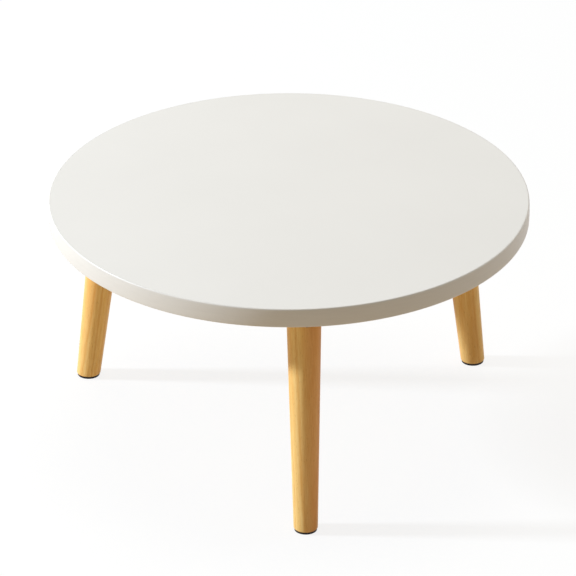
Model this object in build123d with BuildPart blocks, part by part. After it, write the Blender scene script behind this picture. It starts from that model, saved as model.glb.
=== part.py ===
from build123d import *
from math import cos, radians, sin, tan
import os

# A round low table whose three splayed legs fold flat under the top. Each leg is
# bolted to a cast swing head, which turns on a pin between the two ears of a pressed
# base plate and is held open by a spring leaf. Millimetres and degrees; the origin is
# on the floor under the middle of the table, +Z up.

# ---------------------------------------------------------------- driving dimensions

# Tabletop
table_height = 314
top_diameter = 600
core_thickness = 23.4
facing_thickness = 0.8
edge_band_thickness = 2
arris_radius = 1.6

# Legs: the first one stands at the front, the others are spread evenly
leg_count = 3
first_leg_azimuth = -90
leg_inset = 50  # from the rim in to the leg's axis, where the leg meets its head
leg_splay = 7.1
leg_top_diameter = 43
leg_foot_diameter = 30
leg_top_round = 1
foot_round = 1.5

# Foot glides and their nails
glide_diameter = 28
glide_thickness = 3
glide_round = 0.8
nail_diameter = 2.5
nail_length = 16
nail_head_diameter = 7
nail_head_thickness = 1
nail_sink = 0.8  # how far the nail's head lies above the floor
nail_clearance = 0.5

# Fold: legs swing in past one another, so each one folds a little to one side
fold_turn = 15
fold_angle = 97
moving_gap = 0.2  # between flat faces that move past or rest on each other
running_clearance = 0.05  # radial, between the hinge pin and the knuckle

# Base plate
plate_thickness = 2
bend_radius = 1
ear_radius = 7
relief_width = 1.5
plate_margin = 6  # from a screw's middle to the plate's edge
plate_corner_radius = 3
fastener_gap = 2  # from a screw's head to what moves beside it

# Wood screws of the base plate
screw_diameter = 4
screw_length = 16
screw_tip_length = 3
screw_tip_diameter = 0.8
screw_head_diameter = 8
screw_head_height = 2.4
screw_hole_clearance = 0.25
ring_screw_angles = (-110, -35, 35, 110)
neck_screw_spacing = 18

# Hinge pin and its friction washers
pin_diameter = 6
pin_head_diameter = 9
pin_head_thickness = 1.6
pin_head_round = 0.8
washer_diameter = 11
washer_thickness = 1
washer_gap = 0.1

# Swing head
head_lip = 0.5  # how far the head stands out round the leg's top
head_round = 0.8
head_rim_thickness = 5  # where the wedge is thinnest, on its outer side
knuckle_radius = 6.8
knuckle_width = 26
knuckle_slot_width = 8
knuckle_slot_round = 2
pin_to_leg = 5.5  # from the pin's axis to the side of the leg
heel_length = 10
heel_to_leg = 1.5
nose_length = 4.8
nose_width = 16
nose_thickness = 3.8
nose_chamfer = 0.6
nose_round = 1.5

# Catch spring and its rivets
leaf_thickness = 0.8
leaf_width = 14
leaf_clearance = 0.6  # between the nose and the standing leaf
leaf_bend_radius = 0.5  # inside each bend
catch_bite = 2.4  # how far the catch's sharp corner would reach under the nose
catch_slope = 0.65
tab_flare = 1.4  # how far the finger tab stands out past the leaf
tab_drop = 3.2
catch_foot_length = 13
rivet_diameter = 3
rivet_spacing = 8
rivet_head_diameter = 5
rivet_head_height = 1.2
tongue_margin = 2

# Leg fixings
bolt_diameter = 6
bolt_length = 20
bolt_head_diameter = 12
bolt_head_land = 0.3
bolt_clearance = 0.2
bolt_sink = 0.9  # below the head's top face, so that the tilted bolt stays under it
insert_diameter = 10
insert_length = 15
insert_sink = 1
insert_hole_depth = 18
locating_pin_diameter = 4
locating_pin_length = 10
locating_pin_inset = 8.5  # from the side of the leg in to the pin's middle

# ---------------------------------------------------------------- worked-out places

# Heights and radii
top_radius = top_diameter / 2
core_radius = top_radius - edge_band_thickness
underside_height = table_height - core_thickness - 2 * facing_thickness
leg_circle_radius = top_radius - leg_inset
leg_top_radius = leg_top_diameter / 2
head_radius = leg_top_radius + head_lip
locating_pin_offset = leg_top_radius - locating_pin_inset

# The swing head is a wedge, thinnest on its outer side, and the leg's splay gives its slope
head_thickness = head_rim_thickness + head_radius * tan(radians(leg_splay))
head_deepest = head_rim_thickness + 2 * head_radius * tan(radians(leg_splay))
head_top_drop = plate_thickness + moving_gap
seat_height = underside_height - head_top_drop - head_thickness

# Each piece of a leg is modelled at azimuth 0, where +X points away from the middle.
# The bracket's plane lies on the underside over the leg, its X axis against the fold.
bracket = Plane(
    origin=(leg_circle_radius, 0, underside_height),
    x_dir=(cos(radians(fold_turn)), sin(radians(fold_turn)), 0),
    z_dir=(0, 0, 1),
)
# Upright section through the bracket: X against the fold, Y up
fold_section = Plane(origin=bracket.origin, x_dir=bracket.x_dir, z_dir=-bracket.y_dir)
# Where the leg's squared top meets the head, Z up along the leg
leg_seat = Plane(
    origin=(leg_circle_radius, 0, seat_height),
    x_dir=(cos(radians(leg_splay)), 0, sin(radians(leg_splay))),
    z_dir=(-sin(radians(leg_splay)), 0, cos(radians(leg_splay))),
)
leg_section = Plane(origin=leg_seat.origin, x_dir=leg_seat.x_dir, z_dir=-leg_seat.y_dir)

# The leg's axis meets the glide and the floor further out than its seat
leg_length = (seat_height - glide_thickness) / cos(radians(leg_splay))
foot_circle_radius = leg_circle_radius + (seat_height - glide_thickness) * tan(radians(leg_splay))
glide_seat = Plane(origin=(foot_circle_radius, 0, glide_thickness), x_dir=(1, 0, 0), z_dir=(0, 0, 1))

# The pin stands just inside the leg, high enough for the knuckle to clear the plate
pin_x = -(leg_top_radius + pin_to_leg)
pin_y = -(plate_thickness + moving_gap + knuckle_radius)
pin_point = Vector(pin_x, pin_y)
ear_inside = knuckle_width / 2 + washer_thickness + 2 * washer_gap
ear_outside = ear_inside + plate_thickness
pin_plane = Plane(
    origin=fold_section.from_local_coords(Vector(pin_x, pin_y, 0)),
    x_dir=bracket.x_dir,
    z_dir=bracket.y_dir,
)
# Section across the ears, its origin on the underside above the pin
channel_section = Plane(
    origin=fold_section.from_local_coords(Vector(pin_x, 0, 0)),
    x_dir=bracket.y_dir,
    z_dir=bracket.x_dir,
)

# Four screws stand on a ring round the head, two on the neck behind the folded heel
screw_ring_radius = head_radius + screw_head_diameter / 2 + fastener_gap
plate_radius = screw_ring_radius + plate_margin
neck_screw_x = pin_x - heel_length - screw_head_diameter / 2 - fastener_gap
neck_reach = -neck_screw_x + plate_margin
screw_points = [
    Vector(screw_ring_radius * cos(radians(angle)), screw_ring_radius * sin(radians(angle)))
    for angle in ring_screw_angles
]
screw_points += [Vector(neck_screw_x, side * neck_screw_spacing / 2) for side in (-1, 1)]

# The leaf stands just past the nose; its catch slopes up to meet the nose's lower edge
nose_reach = head_radius + nose_length
nose_bottom = -(head_top_drop + nose_thickness)
leaf_x = nose_reach + leaf_clearance
catch_x = nose_reach - catch_bite
catch_top = nose_bottom - moving_gap + catch_slope * (leaf_x - nose_reach + nose_chamfer)
catch_tip = catch_top - catch_slope * (leaf_x - catch_x)
tongue_reach = leaf_x + catch_foot_length + tongue_margin
rivet_x = leaf_x + (catch_foot_length + leaf_thickness + leaf_bend_radius) / 2
rivet_points = [Vector(rivet_x, side * rivet_spacing / 2) for side in (-1, 1)]

station_azimuths = [first_leg_azimuth + 360 / leg_count * number for number in range(leg_count)]

# ---------------------------------------------------------------- bracket, fixed half

# Pressed base plate: a disc over the head, a neck that carries the ears and a tongue
# that carries the catch. The ears are bent down as the arms of a channel.
with BuildPart() as base_plate:
    with BuildSketch(channel_section):
        Rectangle(2 * ear_outside, ear_radius - pin_y, align=(Align.CENTER, Align.MAX))
        fillet(vertices().group_by(Axis.Y)[-1], bend_radius + plate_thickness)
    extrude(amount=ear_radius, both=True)
    with BuildSketch(channel_section):
        with Locations((0, -plate_thickness)):
            Rectangle(2 * ear_inside, ear_radius - pin_y, align=(Align.CENTER, Align.MAX))
        fillet(vertices().group_by(Axis.Y)[-1], bend_radius)
    extrude(amount=ear_radius, both=True, mode=Mode.SUBTRACT)
    # Each ear is rounded about the pin
    with BuildSketch(fold_section):
        with Locations(pin_point):
            Circle(ear_radius)
            Rectangle(2 * ear_radius, -pin_y, align=(Align.CENTER, Align.MIN))
    extrude(amount=plate_radius, both=True, mode=Mode.INTERSECT)
    with BuildSketch(bracket) as plate_outline:
        Circle(plate_radius)
        Rectangle(neck_reach, 2 * ear_outside, align=(Align.MAX, Align.CENTER))
        Rectangle(tongue_reach, leaf_width + 2 * tongue_margin, align=(Align.MIN, Align.CENTER))
        for side in (-1, 1):
            with Locations((pin_x, side * (ear_inside - bend_radius))):
                Rectangle(
                    2 * (ear_radius + relief_width),
                    plate_radius,
                    align=(Align.CENTER, Align.MIN if side > 0 else Align.MAX),
                    mode=Mode.SUBTRACT,
                )
        end_corners = plate_outline.vertices().group_by(Axis.X)
        fillet(end_corners[0] + end_corners[-1], plate_corner_radius)
    extrude(amount=-plate_thickness)
    with BuildSketch(bracket):
        with Locations(*screw_points):
            Circle(screw_diameter / 2 + screw_hole_clearance)
        with Locations(*rivet_points):
            Circle(rivet_diameter / 2)
    extrude(amount=-plate_thickness, mode=Mode.SUBTRACT)
    with BuildSketch(pin_plane):
        Circle(pin_diameter / 2)
    extrude(amount=ear_outside, both=True, mode=Mode.SUBTRACT)

# Pan-head wood screws, driven up through the plate into the board
with BuildPart() as base_screws:
    screw_head_seat = bracket.offset(-plate_thickness)
    with BuildSketch(screw_head_seat):
        with Locations(*screw_points):
            Circle(screw_head_diameter / 2)
    extrude(amount=-screw_head_height)
    fillet(edges().group_by(Axis.Z)[0], screw_head_height / 2)
    with BuildSketch(screw_head_seat):
        with Locations(*screw_points):
            Circle(screw_diameter / 2)
    extrude(amount=screw_length)
    tip_taper = (screw_diameter - screw_tip_diameter) / 2
    chamfer(edges().group_by(Axis.Z)[-1], length=screw_tip_length, length2=tip_taper)

# Hinge pin: a rivet through both ears, a head at each end
with BuildPart() as hinge_pin:
    with BuildSketch(pin_plane):
        Circle(pin_diameter / 2)
    extrude(amount=ear_outside, both=True)
    for side in (-1, 1):
        with BuildSketch(pin_plane.offset(side * ear_outside)):
            Circle(pin_head_diameter / 2)
        extrude(amount=side * pin_head_thickness)
    end_edges = edges().filter_by(GeomType.CIRCLE).sort_by(Axis(pin_plane.origin, pin_plane.z_dir))
    fillet([end_edges[0], end_edges[-1]], pin_head_round)

# Friction washers, one in each gap between knuckle and ear
with BuildPart() as friction_washers:
    for side in (-1, 1):
        with BuildSketch(pin_plane.offset(side * (knuckle_width / 2 + washer_gap))):
            Circle(washer_diameter / 2)
            Circle(pin_diameter / 2, mode=Mode.SUBTRACT)
        extrude(amount=side * washer_thickness)

# Catch spring: a leaf with a riveted foot, a catch under the nose and a finger tab
with BuildPart() as catch_spring:
    wide_bend = leaf_thickness + leaf_bend_radius
    with BuildSketch(fold_section):
        with BuildLine():
            FilletPolyline(
                (leaf_x + catch_foot_length, -plate_thickness),
                (leaf_x, -plate_thickness),
                (leaf_x, catch_top),
                (catch_x, catch_tip),
                (leaf_x + tab_flare, catch_tip - tab_drop),
                radius=[wide_bend, leaf_bend_radius, wide_bend],
            )
            offset(amount=leaf_thickness, side=Side.LEFT)
        make_face()
    extrude(amount=leaf_width / 2, both=True)
    with BuildSketch(bracket):
        with Locations(*rivet_points):
            Circle(rivet_diameter / 2)
    extrude(amount=-(plate_thickness + 2 * leaf_thickness), mode=Mode.SUBTRACT)

# Rivets of the catch, flush with the plate's upper face
with BuildPart() as catch_rivets:
    with BuildSketch(bracket):
        with Locations(*rivet_points):
            Circle(rivet_diameter / 2)
    extrude(amount=-(plate_thickness + leaf_thickness))
    with BuildSketch(bracket.offset(-plate_thickness - leaf_thickness)):
        with Locations(*rivet_points):
            Circle(rivet_head_diameter / 2)
    extrude(amount=-rivet_head_height)
    fillet(edges().group_by(Axis.Z)[0], rivet_head_height / 2)

# ---------------------------------------------------------------- bracket, swinging half

# Swing head: a cast wedge between the level plate and the splayed leg. Its two lugs
# turn on the pin, its heel stops the fold against the plate and its nose is caught.
with BuildPart() as swing_head:
    head_top = bracket.offset(-head_top_drop)
    stop_normal = Vector(-sin(radians(fold_angle)), cos(radians(fold_angle)))
    stop_run = Vector(-cos(radians(fold_angle)), -sin(radians(fold_angle)))
    stop_start = pin_point + stop_normal * knuckle_radius
    heel_point = stop_start + stop_run * heel_length
    arc_middle = pin_point + Vector(
        -sin(radians(fold_angle / 2)) * knuckle_radius, cos(radians(fold_angle / 2)) * knuckle_radius
    )
    with BuildSketch(head_top):
        Circle(head_radius)
    extrude(amount=-head_deepest)
    fillet(edges().group_by(Axis.Z)[-1], head_round)
    with BuildSketch(fold_section):
        with BuildLine():
            Polyline(
                stop_start,
                heel_point,
                (0, heel_point.Y),
                (0, -head_top_drop),
                (pin_x, -head_top_drop),
            )
            ThreePointArc((pin_x, -head_top_drop), arc_middle, stop_start)
        make_face()
    extrude(amount=knuckle_width / 2, both=True)
    with BuildSketch(fold_section):
        with Locations((0, -head_top_drop)):
            Rectangle(nose_reach, nose_thickness, align=(Align.MIN, Align.MAX))
        nose_edge = vertices().group_by(Axis.X)[-1].sort_by(Axis.Y)[0]
        chamfer(nose_edge, nose_chamfer)
    extrude(amount=nose_width / 2, both=True)
    nose_end = edges().group_by(Axis(bracket.origin, bracket.x_dir))[-1]
    fillet(nose_end.filter_by(Axis.Z), nose_round)
    # The slanted seat for the leg, and room round the leg for its sides
    with BuildSketch(leg_seat):
        Circle(leg_top_radius + heel_to_leg)
    extrude(amount=-leg_length / 2, mode=Mode.SUBTRACT)
    # Slot that parts the knuckle into two lugs, and the bore of the pin
    with BuildSketch(head_top):
        with Locations((pin_x - ear_radius, 0)):
            Rectangle(ear_radius + pin_to_leg, knuckle_slot_width, align=(Align.MIN, Align.CENTER))
        fillet(vertices().group_by(Axis.X)[-1], knuckle_slot_round)
    extrude(amount=-(heel_length + 2 * knuckle_radius), mode=Mode.SUBTRACT)
    with BuildSketch(pin_plane):
        Circle(pin_diameter / 2 + running_clearance)
    extrude(amount=knuckle_width / 2, both=True, mode=Mode.SUBTRACT)
    # Countersunk hole along the leg for its bolt, blind hole for the locating pin
    bolt_head_level = leg_seat.offset(head_thickness / cos(radians(leg_splay)) - bolt_sink)
    with Locations(bolt_head_level):
        CounterSinkHole(
            radius=bolt_diameter / 2 + bolt_clearance,
            counter_sink_radius=bolt_head_diameter / 2 + bolt_head_land,
            counter_sink_angle=90,
        )
    with BuildSketch(leg_seat):
        with Locations((-locating_pin_offset, 0)):
            Circle(locating_pin_diameter / 2)
    extrude(amount=locating_pin_length / 2, mode=Mode.SUBTRACT)

# ---------------------------------------------------------------- leg and its fixings

# Countersunk bolt that draws the leg up to the head
with BuildPart() as leg_bolt:
    cone_length = (bolt_head_diameter - bolt_diameter) / 2
    with BuildSketch(Plane(leg_section.origin, leg_section.x_dir, leg_section.z_dir)):
        with Locations((0, head_thickness / cos(radians(leg_splay)) - bolt_sink)):
            Polygon(
                (0, 0),
                (bolt_head_diameter / 2, 0),
                (bolt_head_diameter / 2, -bolt_head_land),
                (bolt_diameter / 2, -bolt_head_land - cone_length),
                (bolt_diameter / 2, -bolt_length),
                (0, -bolt_length),
                align=None,
            )
    revolve(axis=Axis(leg_seat.origin, leg_seat.z_dir))

# Threaded sleeve let into the top of the leg
with BuildPart() as leg_insert:
    with BuildSketch(leg_seat.offset(-insert_sink)):
        Circle(insert_diameter / 2)
        Circle(bolt_diameter / 2, mode=Mode.SUBTRACT)
    extrude(amount=-insert_length)

# Locating pin, half in the head and half in the leg
with BuildPart() as locating_pin:
    with BuildSketch(leg_seat):
        with Locations((-locating_pin_offset, 0)):
            Circle(locating_pin_diameter / 2)
    extrude(amount=locating_pin_length / 2, both=True)

# Tapered turned leg, square at its seat and cut level at the foot
with BuildPart() as leg:
    taper = (leg_top_diameter - leg_foot_diameter) / 2 / leg_length
    blank_length = leg_length + leg_foot_diameter / 2
    with BuildSketch(leg_section):
        Polygon(
            (0, 0),
            (leg_top_radius, 0),
            (leg_top_radius - taper * blank_length, -blank_length),
            (0, -blank_length),
            align=None,
        )
    revolve(axis=Axis(leg_seat.origin, leg_seat.z_dir))
    fillet(edges().filter_by(GeomType.CIRCLE).sort_by(Axis.Z)[-1], leg_top_round)
    split(bisect_by=glide_seat, keep=Keep.TOP)
    fillet(edges().group_by(Axis.Z)[0], foot_round)
    with BuildSketch(leg_seat):
        Circle(insert_diameter / 2)
    extrude(amount=-insert_hole_depth, mode=Mode.SUBTRACT)
    with BuildSketch(leg_seat):
        with Locations((-locating_pin_offset, 0)):
            Circle(locating_pin_diameter / 2)
    extrude(amount=-locating_pin_length / 2, mode=Mode.SUBTRACT)
    with BuildSketch(glide_seat):
        Circle(nail_diameter / 2)
    extrude(amount=nail_length, mode=Mode.SUBTRACT)

# Foot glide: a disc with its nail's head sunk well above the floor
with BuildPart() as foot_glide:
    with BuildSketch(glide_seat):
        Circle(glide_diameter / 2)
    extrude(amount=-glide_thickness)
    fillet(edges().group_by(Axis.Z)[0], glide_round)
    with BuildSketch(glide_seat.offset(-glide_thickness)):
        Circle(nail_head_diameter / 2 + nail_clearance)
    extrude(amount=nail_sink + nail_head_thickness, mode=Mode.SUBTRACT)
    with BuildSketch(glide_seat):
        Circle(nail_diameter / 2)
    extrude(amount=-glide_thickness, mode=Mode.SUBTRACT)

# Nail that holds the glide
with BuildPart() as glide_nail:
    with BuildSketch(Plane.XY.offset(nail_sink).shift_origin((foot_circle_radius, 0, nail_sink))):
        Circle(nail_head_diameter / 2)
    extrude(amount=nail_head_thickness)
    with BuildSketch(glide_seat):
        Circle(nail_diameter / 2)
    extrude(amount=nail_length)
    with BuildSketch(glide_seat):
        Circle(nail_diameter / 2)
    extrude(amount=-(glide_thickness - nail_sink))

# ---------------------------------------------------------------- tabletop

# Round board core, with a hole for each base plate screw
with BuildPart() as top_core:
    with BuildSketch(Plane.XY.offset(underside_height + facing_thickness)):
        Circle(core_radius)
    extrude(amount=core_thickness)
    for azimuth in station_azimuths:
        add(base_screws.part, rotation=(0, 0, azimuth), mode=Mode.SUBTRACT)

# Facing sheets above and below the core
with BuildPart() as top_facing:
    with BuildSketch(Plane.XY.offset(table_height - facing_thickness)):
        Circle(core_radius)
    extrude(amount=facing_thickness)

with BuildPart() as underside_facing:
    with BuildSketch(Plane.XY.offset(underside_height)):
        Circle(core_radius)
    extrude(amount=facing_thickness)
    for azimuth in station_azimuths:
        add(base_screws.part, rotation=(0, 0, azimuth), mode=Mode.SUBTRACT)

# Band round the edge, its arrises softened
with BuildPart() as edge_band:
    with BuildSketch(Plane.XY.offset(underside_height)):
        Circle(top_radius)
        Circle(core_radius, mode=Mode.SUBTRACT)
    extrude(amount=table_height - underside_height)
    rim_edges = edges().filter_by(GeomType.CIRCLE).group_by(SortBy.RADIUS)[-1]
    fillet(rim_edges, arris_radius)

# ---------------------------------------------------------------- files

os.makedirs("parts", exist_ok=True)

tabletop_pieces = {
    "top_core": top_core,
    "top_facing": top_facing,
    "underside_facing": underside_facing,
    "edge_band": edge_band,
}
for name, piece in tabletop_pieces.items():
    piece.part.label = name
    export_step(piece.part, f"parts/{name}.step")

# The pieces of one leg, copied to each station round the table
leg_pieces = {
    "base_plate": base_plate,
    "base_screws": base_screws,
    "hinge_pin": hinge_pin,
    "friction_washers": friction_washers,
    "catch_spring": catch_spring,
    "catch_rivets": catch_rivets,
    "swing_head": swing_head,
    "leg_bolt": leg_bolt,
    "leg_insert": leg_insert,
    "locating_pin": locating_pin,
    "leg": leg,
    "foot_glide": foot_glide,
    "glide_nail": glide_nail,
}
for number, azimuth in enumerate(station_azimuths, start=1):
    for name, piece in leg_pieces.items():
        with BuildPart() as placed:
            add(piece.part, rotation=(0, 0, azimuth))
        placed.part.label = f"{name}_{number}"
        export_step(placed.part, f"parts/{name}_{number}.step")
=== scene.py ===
from math import atan2, cos, pi, radians, sin

import bmesh
import bpy
from mathutils import Euler, Matrix, Vector


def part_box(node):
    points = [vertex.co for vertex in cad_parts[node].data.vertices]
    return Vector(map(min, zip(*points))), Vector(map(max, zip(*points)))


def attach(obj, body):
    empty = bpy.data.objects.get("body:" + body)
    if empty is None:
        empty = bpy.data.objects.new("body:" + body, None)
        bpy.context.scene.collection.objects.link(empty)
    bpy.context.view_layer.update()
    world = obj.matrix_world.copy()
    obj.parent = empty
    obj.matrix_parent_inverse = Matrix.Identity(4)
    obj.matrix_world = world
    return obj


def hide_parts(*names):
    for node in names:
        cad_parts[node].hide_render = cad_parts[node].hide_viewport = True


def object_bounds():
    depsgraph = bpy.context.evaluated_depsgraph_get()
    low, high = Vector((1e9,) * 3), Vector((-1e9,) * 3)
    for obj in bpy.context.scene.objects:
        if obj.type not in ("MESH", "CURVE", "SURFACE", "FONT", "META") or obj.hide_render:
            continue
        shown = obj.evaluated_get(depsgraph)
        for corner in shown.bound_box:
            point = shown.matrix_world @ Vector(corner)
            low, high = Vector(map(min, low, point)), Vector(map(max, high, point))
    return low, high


# A round low table whose three splayed legs fold flat under the top. Metres, +Z up, with
# the origin on the floor under the middle. Values named mm are millimetres, and MM turns
# them into metres.
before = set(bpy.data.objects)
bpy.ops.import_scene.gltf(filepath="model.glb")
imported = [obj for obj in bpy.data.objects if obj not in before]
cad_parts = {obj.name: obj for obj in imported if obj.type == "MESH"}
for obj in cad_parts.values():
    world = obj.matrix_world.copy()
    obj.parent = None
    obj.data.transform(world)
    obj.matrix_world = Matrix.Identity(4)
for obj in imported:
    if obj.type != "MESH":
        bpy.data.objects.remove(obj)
cad_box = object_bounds()
MM = 0.001

# ------------------------------------------------------------------ board core
# The round panel in the top: particle board, which is wood chips pressed with resin. Sheets
# and band close it in on every side, so it shows only in the holes that its screws fill.


def colour(code):
    """An sRGB hex colour as the linear RGBA that a socket takes."""
    channels = [int(code[start:start + 2], 16) / 255 for start in (1, 3, 5)]
    return [c / 12.92 if c <= 0.04045 else ((c + 0.055) / 1.055) ** 2.4 for c in channels] + [1]


def output_of(source):
    """A socket as it is, or the first output that a node has in use."""
    if isinstance(source, bpy.types.Node):
        return next(socket for socket in source.outputs if socket.enabled)
    return source


def add(tree, kind, inputs=(), stops=(), **settings):
    """Adds a node. Its inputs go in order, or by name or identifier in a dictionary. Nodes and
    sockets are linked, values are set, and an input for many links takes a list of them."""
    node = tree.nodes.new(kind)
    for name, value in settings.items():
        setattr(node, name, value)
    for key, value in inputs.items() if isinstance(inputs, dict) else enumerate(inputs):
        shown = [socket for socket in node.inputs if socket.enabled]
        if isinstance(key, int):
            socket = shown[key]
        else:
            socket = next(s for s in shown if key in (s.identifier, s.name))
        for part in value if socket.is_multi_input else [value]:
            if isinstance(part, (bpy.types.Node, bpy.types.NodeSocket)):
                tree.links.new(output_of(part), socket)
            else:
                socket.default_value = part
    for number, (position, code) in enumerate(stops):
        ramp = node.color_ramp.elements
        stop = ramp[number] if number < len(ramp) else ramp.new(position)
        stop.position, stop.color = position, colour(code)
    return node


def new_finish(name, **surface):
    """A material, its tree and its shader, on whose sockets the given plain values are set."""
    material = bpy.data.materials.new(name)
    material.use_nodes = True
    shader = material.node_tree.nodes["Principled BSDF"]
    for socket, value in surface.items():
        shader.inputs[socket.replace("_", " ")].default_value = value
    return material, material.node_tree, shader


def connect(tree, shader, **patterns):
    """Links patterns to the shader's sockets."""
    for socket, pattern in patterns.items():
        tree.links.new(output_of(pattern), shader.inputs[socket.replace("_", " ")])


def dress(material, *nodes):
    """Gives CAD nodes their material. Their meshes stay as they are."""
    for node in nodes:
        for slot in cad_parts[node].material_slots:
            slot.material = material


# Pressed wood chips: matt, every chip its own tan
chip_mm = 2.2
particle_board, tree, shader = new_finish("particle_board", Roughness=0.85)
place = add(tree, "ShaderNodeTexCoord").outputs["Object"]
chips = add(tree, "ShaderNodeTexVoronoi", {"Vector": place, "Scale": 1 / (chip_mm * MM)})
chip_tone = add(
    tree, "ShaderNodeValToRGB", [chips.outputs["Color"]],
    stops=[(0, "#a9835a"), (1, "#dcc096"), (0.5, "#c6a277")],
)
connect(tree, shader, Base_Color=chip_tone)
dress(particle_board, "top_core")

# ------------------------------------------------------------------ facing sheets
# White melamine paper, pressed on the board above and below. The press plate gives it a
# satin skin with a very fine pearl grain, and it wipes clean, so it stays one even white.


def clouded_finish(
    name, cloud_mm, detail, tones, roughness, grain_mm=0, relief_mm=0, strength=0, **surface
):
    """A finish whose tone and roughness drift together, in clouds of that size. With a grain
    size it also has a fine grain of that relief."""
    material, tree, shader = new_finish(name, **surface)
    place = add(tree, "ShaderNodeTexCoord").outputs["Object"]
    clouds = add(
        tree, "ShaderNodeTexNoise",
        {"Vector": place, "Scale": 1 / (cloud_mm * MM), "Detail": detail},
    )
    tone = add(tree, "ShaderNodeValToRGB", [clouds], stops=tones)
    smoothest, roughest = roughness
    shine = add(
        tree, "ShaderNodeMapRange",
        {
            "Value": clouds, "From Min": 0.3, "From Max": 0.7,
            "To Min": smoothest, "To Max": roughest,
        },
    )
    connect(tree, shader, Base_Color=tone, Roughness=shine)
    if grain_mm:
        grain = add(
            tree, "ShaderNodeTexNoise",
            {"Vector": place, "Scale": 1 / (grain_mm * MM), "Detail": 2.0},
        )
        relief = add(
            tree, "ShaderNodeBump",
            {"Height": grain, "Strength": strength, "Distance": relief_mm * MM},
        )
        connect(tree, shader, Normal=relief)
    return material


# Melamine: hard, even and faintly warm, its shine broken by the pearl grain. The real grain
# is about 0.3 mm, and is drawn coarser so that it shows.
melamine = clouded_finish(
    "white_melamine", cloud_mm=120, detail=2.0, tones=[(0.25, "#e8e5e1"), (0.75, "#eae7e3")],
    roughness=(0.68, 0.76), grain_mm=1.4, relief_mm=0.05, strength=0.12,
    IOR=1.5, Specular_IOR_Level=0.1,
)
dress(melamine, "top_facing", "underside_facing")

# ------------------------------------------------------------------ edge band
# A 2 mm strip of white plastic, glued round the board's edge and trimmed flush. Its face
# is drawn with a slight crown, and the trimmer leaves its two outer corners rounded.
band_mm = 2
band_round_mm = 1.6
band_round_steps = 7
band_crown_mm = 0.4
band_cuts = 4
band_steps = 288


def new_tree(name, **inputs):
    """A geometry tree and its input sockets, named in one list for each kind of socket."""
    tree = bpy.data.node_groups.new(name, "GeometryNodeTree")
    for kind, labels in inputs.items():
        for label in labels.split(", "):
            tree.interface.new_socket(label, in_out="INPUT", socket_type="NodeSocket" + kind)
    tree.interface.new_socket("Mesh", in_out="OUTPUT", socket_type="NodeSocketGeometry")
    return tree, tree.nodes.new("NodeGroupInput").outputs


def close_tree(tree, mesh, material):
    """Ends a tree: its instances are made real and its material is set."""
    real = add(tree, "GeometryNodeRealizeInstances", [mesh])
    coated = add(tree, "GeometryNodeSetMaterial", {"Geometry": real, "Material": material})
    add(tree, "NodeGroupOutput", [coated])


def made_by(tree, name, points=(), **sizes):
    """Runs a geometry tree on the given points and keeps its result as a plain mesh."""
    start = bpy.data.meshes.new(name)
    start.from_pydata(points, [], [])
    piece = bpy.data.objects.new(name, start)
    bpy.context.scene.collection.objects.link(piece)
    modifier = piece.modifiers.new("Build", "NODES")
    modifier.node_group = tree
    for item in tree.interface.items_tree:
        size = sizes.get(item.name.replace(" ", "_"))
        if item.in_out == "INPUT" and size is not None:
            modifier[item.identifier] = size
    evaluated = piece.evaluated_get(bpy.context.evaluated_depsgraph_get())
    built = bpy.data.meshes.new_from_object(evaluated)
    if built.materials[0] is None:  # a boolean leaves an empty slot before the finish
        built.materials.pop(index=0)
    piece.modifiers.remove(modifier)
    piece.data = built
    built.polygons.foreach_set("use_smooth", [True] * len(built.polygons))
    crease = radians(35)
    built.set_sharp_from_angle(angle=crease)
    return piece


def fit(piece, body, slot, *nodes):
    """The piece stands for these CAD nodes, hides them and moves with their body. Slot: not used.
    """
    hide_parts(*nodes)
    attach(piece, body)


# Turning: an outline is swept round the Z axis, its X as radius and its Y as depth below 0.
# It follows a ring as small as a pinhole, and what then meets on the axis is welded.
pinhole_mm = 0.001
weld_mm = 0.01
turning, given = new_tree("Turning", Geometry="Outline", Int="Steps")
ring = add(
    turning, "GeometryNodeCurvePrimitiveCircle",
    {"Resolution": given["Steps"], "Radius": pinhole_mm * MM},
)
swept = add(
    turning, "GeometryNodeCurveToMesh", {"Curve": ring, "Profile Curve": given["Outline"]}
)
welded = add(
    turning, "GeometryNodeMergeByDistance", {"Geometry": swept, "Distance": weld_mm * MM}
)
add(turning, "NodeGroupOutput", [welded])

# Outline: four corners, the second and third rounded, left open along the axis unless it is
# closed. The last may lie deeper than the third by the length of a point.
outline_group, given = new_tree(
    "Outline", Float="Outer 1, Outer 2, Inner, Start, End, Point, Round 1, Round 2",
    Int="Round Steps", Bool="Closed",
)
last_depth = add(
    outline_group, "ShaderNodeMath", [given["End"], given["Point"]], operation="ADD"
)
corners = [
    add(outline_group, "ShaderNodeCombineXYZ", {"X": given[radius], "Y": depth})
    for radius, depth in (
        ("Inner", given["Start"]), ("Outer 1", given["Start"]),
        ("Outer 2", given["End"]), ("Inner", last_depth),
    )
]
shape = add(
    outline_group, "GeometryNodeCurvePrimitiveQuadrilateral",
    {f"Point {number}": corner for number, corner in enumerate(corners, start=1)},
    mode="POINTS",
)
opened = add(
    outline_group, "GeometryNodeSetSplineCyclic",
    {"Geometry": shape, "Cyclic": given["Closed"]},
)
corner = add(outline_group, "GeometryNodeInputIndex")
is_second = add(outline_group, "ShaderNodeMath", [corner, 1.0, 0.1], operation="COMPARE")
is_third = add(outline_group, "ShaderNodeMath", [corner, 2.0, 0.1], operation="COMPARE")
second_round = add(
    outline_group, "ShaderNodeMath", [is_second, given["Round 1"]], operation="MULTIPLY"
)
corner_round = add(
    outline_group, "ShaderNodeMath", [is_third, given["Round 2"], second_round],
    operation="MULTIPLY_ADD",
)
softened = add(
    outline_group, "GeometryNodeFilletCurve",
    {
        "Curve": opened, "Count": given["Round Steps"], "Radius": corner_round,
        "Limit Radius": True,
    },
    mode="POLY",
)
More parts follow.
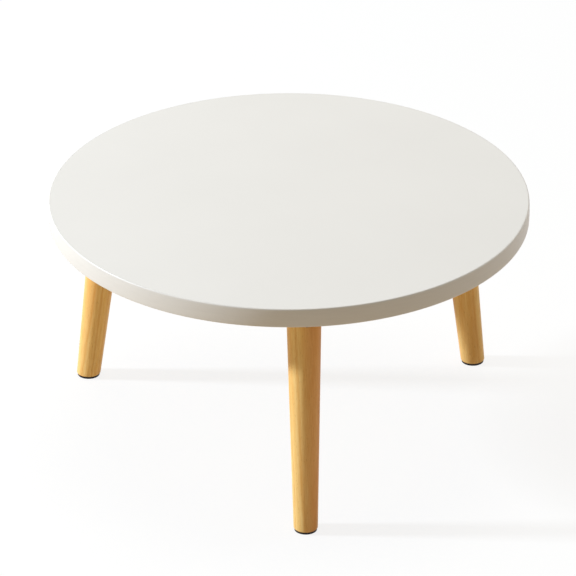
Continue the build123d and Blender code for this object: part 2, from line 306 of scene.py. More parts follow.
add(outline_group, "NodeGroupOutput", [softened])

band_tree, given = new_tree(
    "Edge band", Float="Rim Radius, Thickness, Depth, Round, Crown",
    Int="Round Steps, Cuts, Steps", Material="Material",
)
inside = add(
    band_tree, "ShaderNodeMath", [given["Rim Radius"], given["Thickness"]],
    operation="SUBTRACT",
)
section = add(
    band_tree, "GeometryNodeGroup",
    {
        "Outer 1": given["Rim Radius"], "Outer 2": given["Rim Radius"], "Inner": inside,
        "End": given["Depth"], "Round 1": given["Round"], "Round 2": given["Round"],
        "Round Steps": given["Round Steps"], "Closed": True,
    },
    node_tree=outline_group,
)
# The crown: the outer face draws back by the square of the height from its middle
cut_section = add(band_tree, "GeometryNodeSubdivideCurve", [section, given["Cuts"]])
place = add(band_tree, "GeometryNodeInputPosition")
split = add(band_tree, "ShaderNodeSeparateXYZ", [place]).outputs
off_middle = add(
    band_tree, "ShaderNodeMapRange", [split["Y"], 0.0, given["Depth"], -1.0, 1.0]
)
drop = add(band_tree, "ShaderNodeMath", [off_middle, 2.0], operation="POWER")
outward = add(band_tree, "ShaderNodeMapRange", [split["X"], inside, given["Rim Radius"]])
share = add(band_tree, "ShaderNodeMath", [drop, outward], operation="MULTIPLY")
inward = add(band_tree, "ShaderNodeMath", [given["Crown"], -1.0], operation="MULTIPLY")
draw_back = add(band_tree, "ShaderNodeMath", [share, inward], operation="MULTIPLY")
shift = add(band_tree, "ShaderNodeCombineXYZ", {"X": draw_back})
crowned = add(
    band_tree, "GeometryNodeSetPosition", {"Geometry": cut_section, "Offset": shift}
)
hoop = add(band_tree, "GeometryNodeGroup", [crowned, given["Steps"]], node_tree=turning)
close_tree(band_tree, hoop, given["Material"])

# Extruded white plastic, a little smoother than the sheets, with faint die lines along the
# strip. They are wider than real ones, so that they show. Its white is drawn a shade darker
# than the sheets': painted shade, which keeps the rim's side lit by the key lamp short of white.
die_line_mm = 3
die_line_stretch = 0.08
band_plastic, tree, shader = new_finish("white_band_plastic", IOR=1.5, Roughness=0.4)
place = add(tree, "ShaderNodeTexCoord").outputs["Object"]
drawn_out = add(
    tree, "ShaderNodeMapping",
    {"Vector": place, "Scale": (die_line_stretch, die_line_stretch, 1)},
)
die_lines = add(
    tree, "ShaderNodeTexNoise",
    {"Vector": drawn_out, "Scale": 1 / (die_line_mm * MM), "Detail": 3.0},
)
painted_shade_band_tone = add(
    tree, "ShaderNodeValToRGB", [die_lines], stops=[(0.3, "#dedbd6"), (0.7, "#e1ded9")]
)
band_relief = add(
    tree, "ShaderNodeBump", {"Height": die_lines, "Strength": 0.1, "Distance": 0.04 * MM}
)
connect(tree, shader, Base_Color=painted_shade_band_tone, Normal=band_relief)

low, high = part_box("edge_band")
edge_strip = made_by(
    band_tree, "edge_strip", Rim_Radius=min(-low.x, -low.y, high.x, high.y),
    Thickness=band_mm * MM, Depth=high.z - low.z, Round=band_round_mm * MM,
    Crown=band_crown_mm * MM, Round_Steps=band_round_steps, Cuts=band_cuts,
    Steps=band_steps, Material=band_plastic,
)
edge_strip.data.transform(Matrix.Translation((0, 0, high.z)))
fit(edge_strip, "tabletop", "white_edging", "edge_band")

# ------------------------------------------------------------------ base plates
# A 2 mm steel plate under each leg, pressed from the flat, with two ears bent down to hold
# the hinge pin. It is barrel plated with zinc and screwed to the board.

# Bright zinc plating: pale grey metal with faint blue and straw clouds, softly blurred by
# a grain that is drawn coarser than it is
zinc_plated = clouded_finish(
    "zinc_plated_steel", cloud_mm=14, detail=3.0,
    tones=[(0.3, "#b9bfc6"), (0.72, "#cfccc2"), (0.5, "#c5c7c8")], roughness=(0.3, 0.46),
    grain_mm=0.6, relief_mm=0.03, strength=0.25, Metallic=1.0,
)
leg_numbers = (1, 2, 3)
for number in leg_numbers:
    dress(zinc_plated, f"base_plate_{number}")

# ------------------------------------------------------------------ base plate screws
# Six 4 x 16 mm pan-head wood screws hold each plate to the board. Each has a rolled
# thread and a cross recess, and stops wherever the driver left it.
screw_head_mm = 8
screw_head_height_mm = 2.4
screw_head_round_mm = 1.7
screw_mm = 4
screw_root_mm = 2.7
screw_length_mm = 15.9
screw_tip_mm = 3
screw_pitch_mm = 1.8
screw_sunk_mm = 0.5
recess_mm = 4.4
recess_wing_mm = 1
recess_depth_mm = 1.5
head_steps = 32
screw_round_steps = 6
shank_steps = 20
ridge_sides = 4


def shells(node):
    """The lowest and highest corner of each separate solid of a CAD node."""
    copy = bmesh.new()
    copy.from_mesh(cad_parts[node].data)
    same_point_mm = 0.001
    bmesh.ops.remove_doubles(copy, verts=copy.verts, dist=same_point_mm * MM)
    waiting, boxes = set(copy.verts), []
    while waiting:
        edge_of_shell = {waiting.pop()}
        shell = set(edge_of_shell)
        while edge_of_shell:
            reached = {e.other_vert(v) for v in edge_of_shell for e in v.link_edges}
            edge_of_shell = reached - shell
            shell |= edge_of_shell
        waiting -= shell
        sides = [[v.co[axis] for v in shell] for axis in range(3)]
        boxes.append((Vector(map(min, sides)), Vector(map(max, sides))))
    copy.free()
    return boxes


# Threaded shank: a pointed root from 0 down, with a ridge wound on it for its thread. The
# root also reaches a little way up into the head.
shank_group, given = new_tree(
    "Threaded shank", Float="Radius, Root Radius, Length, Tip Length, Pitch, Sunk"
)
body_end = add(
    shank_group, "ShaderNodeMath", [given["Length"], given["Tip Length"]],
    operation="SUBTRACT",
)
root_start = add(shank_group, "ShaderNodeMath", [given["Sunk"], -1.0], operation="MULTIPLY")
root_outline = add(
    shank_group, "GeometryNodeGroup",
    {
        "Outer 1": given["Root Radius"], "Outer 2": given["Root Radius"],
        "Start": root_start, "End": body_end, "Point": given["Tip Length"],
    },
    node_tree=outline_group,
)
root = add(shank_group, "GeometryNodeGroup", [root_outline, shank_steps], node_tree=turning)
turns = add(shank_group, "ShaderNodeMath", [body_end, given["Pitch"]], operation="DIVIDE")
winding = add(
    shank_group, "GeometryNodeCurveSpiral",
    {
        "Resolution": shank_steps, "Rotations": turns, "Start Radius": given["Root Radius"],
        "End Radius": given["Root Radius"], "Height": body_end,
    },
)
ridge = add(
    shank_group, "ShaderNodeMath", [given["Radius"], given["Root Radius"]],
    operation="SUBTRACT",
)
ridge_section = add(
    shank_group, "GeometryNodeCurvePrimitiveCircle",
    {"Resolution": ridge_sides, "Radius": ridge},
)
thread = add(
    shank_group, "GeometryNodeCurveToMesh",
    {"Curve": winding, "Profile Curve": ridge_section, "Fill Caps": True},
)
downward = add(shank_group, "ShaderNodeMath", [body_end, -1.0], operation="MULTIPLY")
thread_place = add(shank_group, "ShaderNodeCombineXYZ", {"Z": downward})
wound = add(
    shank_group, "GeometryNodeTransform", {"Geometry": thread, "Translation": thread_place}
)
shank_parts = add(shank_group, "GeometryNodeJoinGeometry", [[root, wound]])
add(shank_group, "NodeGroupOutput", [shank_parts])

screw_tree, given = new_tree(
    "Pan head screws", Geometry="Holes",
    Float="Head Radius, Head Height, Head Round, Radius, Root Radius, Length, Tip Length, "
    "Pitch, Sunk, Recess Width, Recess Wing, Recess Depth",
    Int="Seed", Material="Material",
)
head_outline = add(
    screw_tree, "GeometryNodeGroup",
    {
        "Outer 1": given["Head Radius"], "Outer 2": given["Head Radius"],
        "End": given["Head Height"], "Round 2": given["Head Round"],
        "Round Steps": screw_round_steps,
    },
    node_tree=outline_group,
)
head = add(screw_tree, "GeometryNodeGroup", [head_outline, head_steps], node_tree=turning)
head_face = add(
    screw_tree, "ShaderNodeMath", [given["Head Height"], -1.0], operation="MULTIPLY"
)
recess_place = add(screw_tree, "ShaderNodeCombineXYZ", {"Z": head_face})
# The cutter's two wings reach out of the head's face. One also goes a shade deeper than the
# other, so that the two floors don't lie in one plane.
wings = []
for width, breadth, reach in (
    ("Recess Width", "Recess Wing", 2.0), ("Recess Wing", "Recess Width", 1.9)
):
    height = add(
        screw_tree, "ShaderNodeMath", [given["Recess Depth"], reach], operation="MULTIPLY"
    )
    wing_size = add(screw_tree, "ShaderNodeCombineXYZ", [given[width], given[breadth], height])
    wing = add(screw_tree, "GeometryNodeMeshCube", {"Size": wing_size})
    wings.append(
        add(screw_tree, "GeometryNodeTransform", {"Geometry": wing, "Translation": recess_place})
    )
recessed = add(
    screw_tree, "GeometryNodeMeshBoolean", {"Mesh 1": head, "Mesh 2": wings},
    operation="DIFFERENCE",
)
shank = add(
    screw_tree, "GeometryNodeGroup",
    {
        size: given[size]
        for size in ("Radius", "Root Radius", "Length", "Tip Length", "Pitch", "Sunk")
    },
    node_tree=shank_group,
)
shank_up = add(
    screw_tree, "GeometryNodeTransform", {"Geometry": shank, "Rotation": (pi, 0, 0)}
)
screw = add(screw_tree, "GeometryNodeJoinGeometry", [[recessed, shank_up]])
stopped_at = add(
    screw_tree, "FunctionNodeRandomValue", {"Max": (0, 0, pi / 2), "Seed": given["Seed"]},
    data_type="FLOAT_VECTOR",
)
driven = add(
    screw_tree, "GeometryNodeInstanceOnPoints",
    {"Points": given["Holes"], "Instance": screw, "Rotation": stopped_at},
)
close_tree(screw_tree, driven, given["Material"])

# Zinc-plated screw wire: brighter than the plate, its head burnished by the driver
screw_zinc = clouded_finish(
    "bright_zinc_screw_steel", cloud_mm=2.5, detail=3.0,
    tones=[(0.3, "#bdbcb6"), (0.7, "#d9d8d2")], roughness=(0.22, 0.38), Metallic=1.0,
)

for number in leg_numbers:
    holes = [
        ((low.x + high.x) / 2, (low.y + high.y) / 2, low.z + screw_head_height_mm * MM)
        for low, high in shells(f"base_screws_{number}")
    ]
    screws = made_by(
        screw_tree, f"pan_head_screws_{number}", points=sorted(holes),
        Head_Radius=screw_head_mm / 2 * MM, Head_Height=screw_head_height_mm * MM,
        Head_Round=screw_head_round_mm * MM, Radius=screw_mm / 2 * MM,
        Root_Radius=screw_root_mm / 2 * MM, Length=screw_length_mm * MM,
        Tip_Length=screw_tip_mm * MM, Pitch=screw_pitch_mm * MM, Sunk=screw_sunk_mm * MM,
        Recess_Width=recess_mm * MM, Recess_Wing=recess_wing_mm * MM,
        Recess_Depth=recess_depth_mm * MM, Seed=number, Material=screw_zinc,
    )
    fit(screws, "tabletop", "screw_steel", f"base_screws_{number}")

# ------------------------------------------------------------------ pins and rivets
# The hinge pin is a 6 mm steel rivet, closed over both ears. Two small rivets hold each
# catch, and a 4 mm locating pin keeps each leg from turning on its head.

# Turned and oiled steel: clean grey, with a narrow highlight. Its tool marks are drawn
# coarser than they are.
turned_steel = clouded_finish(
    "bright_turned_steel", cloud_mm=0.7, detail=2.0,
    tones=[(0.3, "#9d9d9c"), (0.7, "#b8b8b6")], roughness=(0.22, 0.34), Metallic=1.0,
)
for number in leg_numbers:
    dress(turned_steel, f"hinge_pin_{number}", f"catch_rivets_{number}", f"locating_pin_{number}")

# ------------------------------------------------------------------ friction washers
# A thin sprung washer of hardened steel lies on the pin at each side of the knuckle. Held
# between the two ears, the pair keeps the leg where it is put.

# Hardened washer steel: darker, with an oily film
washer_steel = clouded_finish(
    "oiled_washer_steel", cloud_mm=3, detail=2.0,
    tones=[(0.3, "#6c6a67"), (0.7, "#878683")], roughness=(0.2, 0.4), Metallic=1.0,
)
for number in leg_numbers:
    dress(washer_steel, f"friction_washers_{number}")

# ------------------------------------------------------------------ catch springs
# A leaf of hardened strip stands beside each swing head. Its catch snaps under the head's
# nose when the leg is opened, and its lower end is the finger tab that frees it.

# Blued spring steel: dark, with blue and straw temper colours
blued_steel = clouded_finish(
    "blued_spring_steel", cloud_mm=9, detail=2.0,
    tones=[(0.3, "#39455a"), (0.75, "#6d6258"), (0.5, "#4c5361")], roughness=(0.26, 0.38),
    Metallic=1.0,
)
for number in leg_numbers:
    dress(blued_steel, f"catch_spring_{number}")

# ------------------------------------------------------------------ swing heads
# Die-cast zinc wedges between plate and leg: knuckle, heel, nose and slanted seat in one.
# Each swings on its hinge pin, and is lacquered grey.

# Lacquered zinc casting: satin grey with the soft orange peel of its lacquer
lacquered_zinc = clouded_finish(
    "grey_lacquered_zinc", cloud_mm=12, detail=3.0,
    tones=[(0.3, "#8b8c8d"), (0.7, "#9b9c9c")], roughness=(0.4, 0.52), grain_mm=1.2,
    relief_mm=0.06, strength=0.3, Metallic=0.6, Coat_Weight=0.3, Coat_Roughness=0.3,
)
for number in leg_numbers:
    dress(lacquered_zinc, f"swing_head_{number}")

# ------------------------------------------------------------------ legs
# Each leg is turned from one stick of rubberwood, tapered to the foot, cut level where it
# meets its glide, and finished with a clear satin lacquer. Its squared top is bored for a
# threaded sleeve and a locating pin.
leg_top_mm = 43
leg_foot_mm = 30
leg_top_round_mm = 1
leg_foot_round_mm = 1.5
leg_round_steps = 6
leg_splay = radians(7.1)
leg_steps = 72
ring_spacing_mm = 6
level_reach_mm = 60  # the turned rings come level over this last stretch
sleeve_bore_mm = 10
sleeve_bore_depth_mm = 18
pin_bore_mm = 4
pin_bore_depth_mm = 5
pin_bore_offset_mm = 13
nail_bore_mm = 2.5
nail_bore_depth_mm = 16
bore_sides = 32
pith_mm = 60  # from the tree's pith to the middle of the sticks
stick_step_mm = 20  # between the sticks, across the tree
stretch_mm = 700  # between the sticks, along the tree
painted_shade_turns = {1: 90, 2: 80, 3: -70}  # each leg's side with painted shade, in degrees, as it was fitted

# A leg's place is where its axis meets its glide, and its length reaches to the highest
# corner of its node
leg_places = {}
for number in leg_numbers:
    low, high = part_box(f"foot_glide_{number}")
    foot = Vector(((low.x + high.x) / 2, (low.y + high.y) / 2, high.z))
    azimuth = atan2(foot.y, foot.x)
    along = Euler((0, -leg_splay, azimuth)).to_matrix() @ Vector((0, 0, 1))
    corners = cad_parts[f"leg_{number}"].data.vertices
    length = max((corner.co - foot).dot(along) for corner in corners)
    leg_places[number] = (foot + along * length, azimuth, length)

leg_tree, given = new_tree(
    "Turned leg",
    Float="Length, Top Radius, Foot Radius, Top Round, Foot Round, Ring Spacing, Level Reach, "
    "Splay, Azimuth, Sleeve Radius, Sleeve Depth, Pin Radius, Pin Depth, Pin Offset, "
    "Nail Radius, Nail Depth",
    Int="Round Steps, Steps", Vector="Seat, Grain Shift, Heart Side", Material="Material",
)
leg_outline = add(
    leg_tree, "GeometryNodeGroup",
    {
        "Outer 1": given["Top Radius"], "Outer 2": given["Foot Radius"],
        "End": given["Length"], "Round 1": given["Top Round"],
        "Round 2": given["Foot Round"], "Round Steps": given["Round Steps"],
    },
    node_tree=outline_group,
)
# Long runs of the outline are cut into rings no further apart than the spacing
here = add(leg_tree, "GeometryNodeInputPosition")
this = add(leg_tree, "GeometryNodeInputIndex")
following = add(leg_tree, "ShaderNodeMath", [this, 1.0], operation="ADD")
next_point = add(
    leg_tree, "GeometryNodeFieldAtIndex", {"Index": following, "Value": here},
    data_type="FLOAT_VECTOR",
)
run = add(leg_tree, "ShaderNodeVectorMath", [next_point, here], operation="DISTANCE")
cuts = add(leg_tree, "ShaderNodeMath", [run, given["Ring Spacing"]], operation="DIVIDE")
ringed = add(leg_tree, "GeometryNodeSubdivideCurve", [leg_outline, cuts])
turned = add(leg_tree, "GeometryNodeGroup", [ringed, given["Steps"]], node_tree=turning)
# The rings near the foot are sheared until the last of them lies level
split = add(leg_tree, "ShaderNodeSeparateXYZ", [here]).outputs
foot_depth = add(leg_tree, "ShaderNodeMath", [given["Length"], -1.0], operation="MULTIPLY")
level_from = add(
    leg_tree, "ShaderNodeMath", [foot_depth, given["Level Reach"]], operation="ADD"
)
level_share = add(
    leg_tree, "ShaderNodeMapRange", [split["Z"], level_from, foot_depth],
    interpolation_type="SMOOTHSTEP",
)
slope = add(leg_tree, "ShaderNodeMath", [given["Splay"]], operation="TANGENT")
rise = add(leg_tree, "ShaderNodeMath", [split["X"], slope], operation="MULTIPLY")
shear = add(leg_tree, "ShaderNodeMath", [rise, level_share], operation="MULTIPLY")
level = add(leg_tree, "ShaderNodeMath", [shear, -1.0], operation="MULTIPLY")
level_shift = add(leg_tree, "ShaderNodeCombineXYZ", {"Z": level})
levelled = add(
    leg_tree, "GeometryNodeSetPosition", {"Geometry": turned, "Offset": level_shift}
)
# Bores: those for sleeve and pin go straight into the seat, the nail's goes upright into
# the foot
pin_place = add(leg_tree, "ShaderNodeCombineXYZ", {"X": given["Pin Offset"]})
foot_place = add(leg_tree, "ShaderNodeCombineXYZ", {"Z": foot_depth})
upright = add(leg_tree, "ShaderNodeCombineXYZ", {"Y": given["Splay"]})
drills = []
for bore, bore_place, turn in (
    ("Sleeve", (0, 0, 0), (0, 0, 0)),
    ("Pin", pin_place, (0, 0, 0)),
    ("Nail", foot_place, upright),
):
    reach = add(leg_tree, "ShaderNodeMath", [given[f"{bore} Depth"], 2.0], operation="MULTIPLY")
    drill = add(
        leg_tree, "GeometryNodeMeshCylinder",
        {"Vertices": bore_sides, "Radius": given[f"{bore} Radius"], "Depth": reach},
    )
    drills.append(add(
        leg_tree, "GeometryNodeTransform",
        {"Geometry": drill, "Translation": bore_place, "Rotation": turn},
    ))
bored = add(
    leg_tree, "GeometryNodeMeshBoolean", {"Mesh 1": levelled, "Mesh 2": drills},
    operation="DIFFERENCE",
)
# The grain follows the stick, so its pattern reads the place within the leg
stick_place = add(
    leg_tree, "ShaderNodeVectorMath", [here, given["Grain Shift"]], operation="ADD"
)
grained = add(
    leg_tree, "GeometryNodeStoreNamedAttribute",
    {"Geometry": bored, "Name": "stick_place", "Value": stick_place},
    data_type="FLOAT_VECTOR", domain="POINT",
)
# Painted shade: how far each point lies toward its leg's given side is stored, and the wood
# deepens its tone on that side
toward_heart = add(
    leg_tree, "ShaderNodeVectorMath", [here, given["Heart Side"]], operation="DOT_PRODUCT"
)
sided = add(
    leg_tree, "GeometryNodeStoreNamedAttribute",
    {"Geometry": grained, "Name": "toward_heart", "Value": toward_heart},
    data_type="FLOAT", domain="POINT",
)
lean = add(leg_tree, "ShaderNodeMath", [given["Splay"], -1.0], operation="MULTIPLY")
stance = add(leg_tree, "ShaderNodeCombineXYZ", {"Y": lean, "Z": given["Azimuth"]})
stood = add(
    leg_tree, "GeometryNodeTransform",
    {"Geometry": sided, "Translation": given["Seat"], "Rotation": stance},
)
close_tree(leg_tree, stood, given["Material"])

# Lacquered rubberwood: warm straw yellow with faint growth bands, fine straight fibres and
# short dark pores, under a clear coat with a soft, narrow shine. Fibres and pores are really
# a tenth of a millimetre or two across, and are drawn coarser so that they show.
growth_band_mm = 5.5
fibre_mm = 0.5
fibre_run_mm = 28
fibre_share = 0.45
pore_mm = 1.5
pore_run_mm = 11
pore_strength = 0.4
tone_patch_mm = 26
patch_stretch = 0.12
patch_strength = 0.55
grain_wander_mm = 9
leg_wood, tree, shader = new_finish(
    "lacquered_rubberwood", IOR=1.5, Roughness=0.6, Specular_IOR_Level=0.1, Coat_Weight=0.35,
    Coat_Roughness=0.4, Coat_IOR=1.5,
)
stick = add(tree, "ShaderNodeAttribute", attribute_name="stick_place").outputs["Vector"]
slow = add(tree, "ShaderNodeMapping", {"Vector": stick, "Scale": (1, 1, patch_stretch)})
wander = add(
    tree, "ShaderNodeTexNoise",
    {"Vector": slow, "Scale": 1 / (tone_patch_mm * MM), "Detail": 2.0},
)
bent = add(
    tree, "ShaderNodeVectorMath",
    [wander.outputs["Color"], (grain_wander_mm * MM, grain_wander_mm * MM, 0), slow],
    operation="MULTIPLY_ADD",
)
across = add(tree, "ShaderNodeVectorMath", [bent, (1, 1, 0)], operation="MULTIPLY")
from_pith = add(tree, "ShaderNodeVectorMath", [across], operation="LENGTH")
bands = add(
    tree, "ShaderNodeMath", [from_pith, 1 / (growth_band_mm * MM)], operation="MULTIPLY"
)
growth = add(tree, "ShaderNodeMath", [bands, 1.0], operation="PINGPONG")
growth_tone = add(
    tree, "ShaderNodeValToRGB", [growth],
    stops=[(0.0, "#f6ca78"), (1.0, "#e3a853"), (0.6, "#fcd78d")],
)
fibre_place = add(
    tree, "ShaderNodeMapping",
    {
        "Vector": stick,
        "Scale": (1 / (fibre_mm * MM), 1 / (fibre_mm * MM), 1 / (fibre_run_mm * MM)),
    },
)
fibres = add(
    tree, "ShaderNodeTexNoise", {"Vector": fibre_place, "Scale": 1.0, "Detail": 4.0}
)
fibre_tone = add(
    tree, "ShaderNodeValToRGB", [fibres], stops=[(0.3, "#de9f49"), (0.62, "#ffdf97")]
)
wood_tone = add(
    tree, "ShaderNodeMix", {"Factor": fibre_share, "A": growth_tone, "B": fibre_tone},
    data_type="RGBA",
)
# Deeper patches, stretched along the stick
patch_share = add(
    tree, "ShaderNodeMapRange",
    {"Value": wander, "From Min": 0.45, "From Max": 0.68, "To Max": patch_strength},
)
patched = add(
    tree, "ShaderNodeMix",
    {"Factor": patch_share, "A": wood_tone, "B": colour("#eaaa58")}, data_type="RGBA",
)
# Painted shade: each leg's given side is multiplied to a deeper, redder yellow, which darkens
# the front leg where it lies in shade
painted_shade_facing = add(tree, "ShaderNodeAttribute", attribute_name="toward_heart").outputs["Fac"]
painted_shade_share = add(
    tree, "ShaderNodeMapRange", {"Value": painted_shade_facing, "From Min": -0.3, "From Max": 0.5},
    interpolation_type="SMOOTHSTEP",
)
painted_shade_deepened = add(
    tree, "ShaderNodeMix",
    {"Factor": painted_shade_share, "A": patched, "B": colour("#efd4c8")},
    data_type="RGBA", blend_type="MULTIPLY",
)
pore_place = add(
    tree, "ShaderNodeMapping",
    {
        "Vector": stick,
        "Scale": (1 / (pore_mm * MM), 1 / (pore_mm * MM), 1 / (pore_run_mm * MM)),
    },
)
pores = add(tree, "ShaderNodeTexVoronoi", {"Vector": pore_place, "Scale": 1.0})
pore_share = add(
    tree, "ShaderNodeMapRange",
    {
        "Value": pores.outputs["Distance"], "From Min": 0.07, "From Max": 0.2,
        "To Min": pore_strength, "To Max": 0.0,
    },
)
pored = add(
    tree, "ShaderNodeMix",
    {"Factor": pore_share, "A": painted_shade_deepened, "B": colour("#a96f33")}, data_type="RGBA",
)
wood_relief = add(
    tree, "ShaderNodeBump", {"Height": fibres, "Strength": 0.15, "Distance": 0.05 * MM}
)
connect(tree, shader, Base_Color=pored, Normal=wood_relief)

for number, (seat, azimuth, length) in leg_places.items():
    painted_shade_turn = radians(painted_shade_turns[number])
    toward = Vector((cos(painted_shade_turn), sin(painted_shade_turn), 0))
    leg = made_by(
        leg_tree, f"turned_leg_{number}", Length=length, Top_Radius=leg_top_mm / 2 * MM,
        Foot_Radius=leg_foot_mm / 2 * MM, Top_Round=leg_top_round_mm * MM,
        Foot_Round=leg_foot_round_mm * MM, Round_Steps=leg_round_steps,
        Ring_Spacing=ring_spacing_mm * MM, Level_Reach=level_reach_mm * MM, Steps=leg_steps,
        Splay=leg_splay, Azimuth=azimuth, Seat=seat, Sleeve_Radius=sleeve_bore_mm / 2 * MM,
        Sleeve_Depth=sleeve_bore_depth_mm * MM, Pin_Radius=pin_bore_mm / 2 * MM,
        Pin_Depth=pin_bore_depth_mm * MM, Pin_Offset=-pin_bore_offset_mm * MM,
        Nail_Radius=nail_bore_mm / 2 * MM, Nail_Depth=nail_bore_depth_mm * MM,
        Grain_Shift=(pith_mm * MM, stick_step_mm * MM * number, stretch_mm * MM * number),
        Heart_Side=toward / (leg_top_mm / 2 * MM), Material=leg_wood,
    )
    fit(leg, f"leg_{number}_body", "leg_wood", f"leg_{number}")

# ------------------------------------------------------------------ leg bolts
# A zinc-plated M6 countersunk bolt with a hexagon socket goes through each swing head into
# the leg's sleeve, and draws the leg up to the head.
bolt_mm = 6
bolt_root_mm = 4.9
bolt_head_mm = 12
bolt_land_mm = 0.3
bolt_land_steps = 3
bolt_length_mm = 20
bolt_tip_mm = 0.5
bolt_pitch_mm = 1
bolt_sunk_mm = 0.3
socket_mm = 4.5
socket_depth_mm = 2.4

bolt_tree, given = new_tree(
    "Countersunk bolt",
    Float="Radius, Root Radius, Head Radius, Land, Cone Length, Length, Tip Length, Pitch, "
    "Sunk, Socket Radius, Socket Depth",
    Material="Material",
)
cone_outline = add(
    bolt_tree, "GeometryNodeGroup",
    {
        "Outer 1": given["Head Radius"], "Outer 2": given["Radius"],
        "End": given["Cone Length"], "Round 1": given["Land"],
        "Round Steps": bolt_land_steps,
    },
    node_tree=outline_group,
)
cone = add(bolt_tree, "GeometryNodeGroup", [cone_outline, head_steps], node_tree=turning)
socket_height = add(
    bolt_tree, "ShaderNodeMath", [given["Socket Depth"], 2.0], operation="MULTIPLY"
)
hexagon = add(
    bolt_tree, "GeometryNodeMeshCylinder",
    {"Vertices": 6, "Radius": given["Socket Radius"], "Depth": socket_height},
)
socketed = add(
    bolt_tree, "GeometryNodeMeshBoolean", {"Mesh 1": cone, "Mesh 2": [hexagon]},
    operation="DIFFERENCE",
)
thread_length = add(
    bolt_tree, "ShaderNodeMath", [given["Length"], given["Cone Length"]],
    operation="SUBTRACT",
)
bolt_shank = add(
    bolt_tree, "GeometryNodeGroup",
    {
        "Radius": given["Radius"], "Root Radius": given["Root Radius"],
        "Length": thread_length, "Tip Length": given["Tip Length"],
        "Pitch": given["Pitch"], "Sunk": given["Sunk"],
    },
    node_tree=shank_group,
)
below_cone = add(
    bolt_tree, "ShaderNodeMath", [given["Cone Length"], -1.0], operation="MULTIPLY"
)
shank_place = add(bolt_tree, "ShaderNodeCombineXYZ", {"Z": below_cone})
shank_there = add(
    bolt_tree, "GeometryNodeTransform", {"Geometry": bolt_shank, "Translation": shank_place}
)
bolt_parts = add(bolt_tree, "GeometryNodeJoinGeometry", [[socketed, shank_there]])
close_tree(bolt_tree, bolt_parts, given["Material"])

for number, (seat, azimuth, length) in leg_places.items():
    stance = Euler((0, -leg_splay, azimuth)).to_matrix()
    along = stance @ Vector((0, 0, 1))
    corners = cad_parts[f"leg_bolt_{number}"].data.vertices
    rise = max((corner.co - seat).dot(along) for corner in corners)
    bolt = made_by(
        bolt_tree, f"countersunk_bolt_{number}", Radius=bolt_mm / 2 * MM,
        Root_Radius=bolt_root_mm / 2 * MM, Head_Radius=bolt_head_mm / 2 * MM,
        Land=bolt_land_mm * MM,
        Cone_Length=((bolt_head_mm - bolt_mm) / 2 + bolt_land_mm) * MM,
        Length=bolt_length_mm * MM, Tip_Length=bolt_tip_mm * MM, Pitch=bolt_pitch_mm * MM,
        Sunk=bolt_sunk_mm * MM, Socket_Radius=socket_mm / 2 * MM,
        Socket_Depth=socket_depth_mm * MM, Material=screw_zinc,
    )
    bolt.data.transform(Matrix.Translation(seat + along * rise) @ stance.to_4x4())
    fit(bolt, f"leg_{number}_body", "bolt_steel", f"leg_bolt_{number}")

# ------------------------------------------------------------------ threaded sleeves
# A brass sleeve, turned from bar and threaded inside, is let into the top of each leg. The
# leg's bolt screws into it.

# Turned brass: warm yellow metal with a soft shine
brass = clouded_finish(
    "turned_brass", cloud_mm=4, detail=3.0, tones=[(0.3, "#b8924b"), (0.7, "#d3b06a")],
    roughness=(0.25, 0.4), Metallic=1.0,
)
for number in leg_numbers:
    dress(brass, f"leg_insert_{number}")

# ------------------------------------------------------------------ foot glides
# Moulded discs of black polyethylene, nailed under the feet. They let the table slide on a
# floor without marking it.

# Moulded polyethylene: waxy and nearly black, with the grain of its mould, which is drawn
# coarser than it is so that it shows
mould_grain_mm = 0.8
glide_plastic, tree, shader = new_finish(
    "black_polyethylene", IOR=1.5, Roughness=0.6, Specular_IOR_Level=0.3
)
place = add(tree, "ShaderNodeTexCoord").outputs["Object"]
mould = add(
    tree, "ShaderNodeTexNoise",
    {"Vector": place, "Scale": 1 / (mould_grain_mm * MM), "Detail": 2.0},
)
mould_tone = add(
    tree, "ShaderNodeValToRGB", [mould], stops=[(0.3, "#0e0806"), (0.7, "#1a110c")]
)
mould_relief = add(
    tree, "ShaderNodeBump", {"Height": mould, "Strength": 0.4, "Distance": 0.08 * MM}
)
connect(tree, shader, Base_Color=mould_tone, Normal=mould_relief)
for number in leg_numbers:
    dress(glide_plastic, f"foot_glide_{number}")

# ------------------------------------------------------------------ glide nails
# A flat-headed nail of drawn steel goes through the middle of each glide into the foot. Its
# head is sunk, so that it stays clear of the floor.

# Plain drawn steel: dull grey
nail_steel = clouded_finish(
    "drawn_nail_steel", cloud_mm=1.5, detail=3.0, tones=[(0.3, "#858482"), (0.7, "#a3a2a0")],
    roughness=(0.35, 0.5), Metallic=1.0,
)
for number in leg_numbers:
    dress(nail_steel, f"glide_nail_{number}")

# ------------------------------------------------------------------ studio
# A pale seamless floor, soft lamps, and a camera that looks down on the table through a
# very long lens. None of it belongs to the table.
camera_distance = 9.97
camera_pitch = radians(27.41)
camera_turn = radians(-4.15)
aim_drop = 0.1118  # below the middle of the tabletop, along the picture's upright
aim_left = 0.0013
lens_mm = 500
sensor_mm = 36
view_end = 60
floor_half = 30
room_light = 0.24
shadow_kept = 0.16

facing = Euler((radians(90) - camera_pitch, 0, camera_turn)).to_matrix()
aim = Vector((0, 0, cad_box[1].z)) - facing @ Vector((aim_left, aim_drop, 0))
camera_data = bpy.data.cameras.new("camera")
camera_data.lens, camera_data.sensor_width = lens_mm, sensor_mm
camera_data.clip_end = view_end
camera = bpy.data.objects.new("camera", camera_data)
camera.location = aim + facing @ Vector((0, 0, camera_distance))
camera.rotation_euler = facing.to_euler()
bpy.context.scene.collection.objects.link(camera)
bpy.context.scene.camera = camera


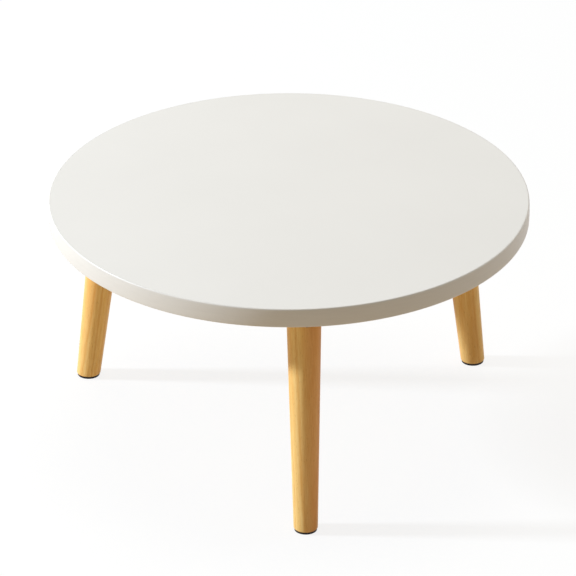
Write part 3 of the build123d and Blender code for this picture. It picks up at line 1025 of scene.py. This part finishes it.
def add_lamp(name, azimuth, elevation, distance, size, brightness, tint):
    """A square soft lamp that looks at the table from that azimuth and elevation in degrees.
    A white sheet facing it shines at that brightness."""
    around, up = radians(azimuth), radians(elevation)
    out = Vector((cos(up) * cos(around), cos(up) * sin(around), sin(up)))
    data = bpy.data.lights.new(name, "AREA")
    data.size, data.color = size, colour(tint)[:3]
    data.energy = brightness * (pi * distance) ** 2
    lamp = bpy.data.objects.new(name, data)
    lamp.location = Vector((0, 0, cad_box[1].z)) + out * distance
    lamp.rotation_euler = out.to_track_quat("Z", "Y").to_euler()
    bpy.context.scene.collection.objects.link(lamp)


# A small key on the left, a wide lamp overhead and a weak one low on the right
add_lamp(
    "key_lamp", azimuth=174.5, elevation=25, distance=6, size=0.5, brightness=1.17,
    tint="#eaf4ff",
)
add_lamp(
    "top_lamp", azimuth=90, elevation=78, distance=5, size=3, brightness=0.38,
    tint="#fff7e2",
)
add_lamp(
    "side_lamp", azimuth=16, elevation=12, distance=6, size=3, brightness=0.17,
    tint="#ffffff",
)

floor_corners = [
    (x * floor_half, y * floor_half, 0) for x, y in ((-1, -1), (1, -1), (1, 1), (-1, 1))
]
floor_mesh = bpy.data.meshes.new("floor")
floor_mesh.from_pydata(floor_corners, [], [(0, 1, 2, 3)])
floor = bpy.data.objects.new("floor", floor_mesh)
bpy.context.scene.collection.objects.link(floor)


def seen_rays(tree):
    """1 on the rays by which the camera, metal and glass see the room, and 0 on the rest."""
    rays = add(tree, "ShaderNodeLightPath").outputs
    seen = add(
        tree, "ShaderNodeMath", [rays["Is Camera Ray"], rays["Is Glossy Ray"]],
        operation="MAXIMUM",
    )
    return add(
        tree, "ShaderNodeMath", [seen, rays["Is Transmission Ray"]], operation="MAXIMUM"
    )


# On those rays the floor is white and keeps a part of the shadow; on the rest it is a warm
# wooden floor, which tints the light that it throws back up
floor_paint = bpy.data.materials.new("pale_floor")
floor_paint.use_nodes = True
tree = floor_paint.node_tree
tree.nodes.clear()
seen = seen_rays(tree)
share = add(tree, "ShaderNodeMath", [seen, 1 - shadow_kept], operation="MULTIPLY")
floor_tone = add(
    tree, "ShaderNodeMix",
    {"Factor": seen, "A": colour("#d8be96"), "B": colour("#ffffff")}, data_type="RGBA",
)
matt = add(tree, "ShaderNodeBsdfDiffuse", {"Color": floor_tone})
glow = add(tree, "ShaderNodeEmission", {"Strength": 1.0})
paint = add(tree, "ShaderNodeMixShader", [share, matt, glow])
add(tree, "ShaderNodeOutputMaterial", {"Surface": paint})
floor_mesh.materials.append(floor_paint)

# The room is white on the same rays, and lights the table far more weakly than it looks
world = bpy.data.worlds.new("studio")
bpy.context.scene.world = world
world.use_nodes = True
tree = world.node_tree
tree.nodes.clear()
room = add(
    tree, "ShaderNodeBackground", {"Color": colour("#ffffff"), "Strength": room_light}
)
white = add(tree, "ShaderNodeBackground", {"Color": colour("#ffffff"), "Strength": 1.0})
backdrop = add(tree, "ShaderNodeMixShader", [seen_rays(tree), room, white])
add(tree, "ShaderNodeOutputWorld", {"Surface": backdrop})
bpy.context.scene.view_settings.view_transform = "Standard"
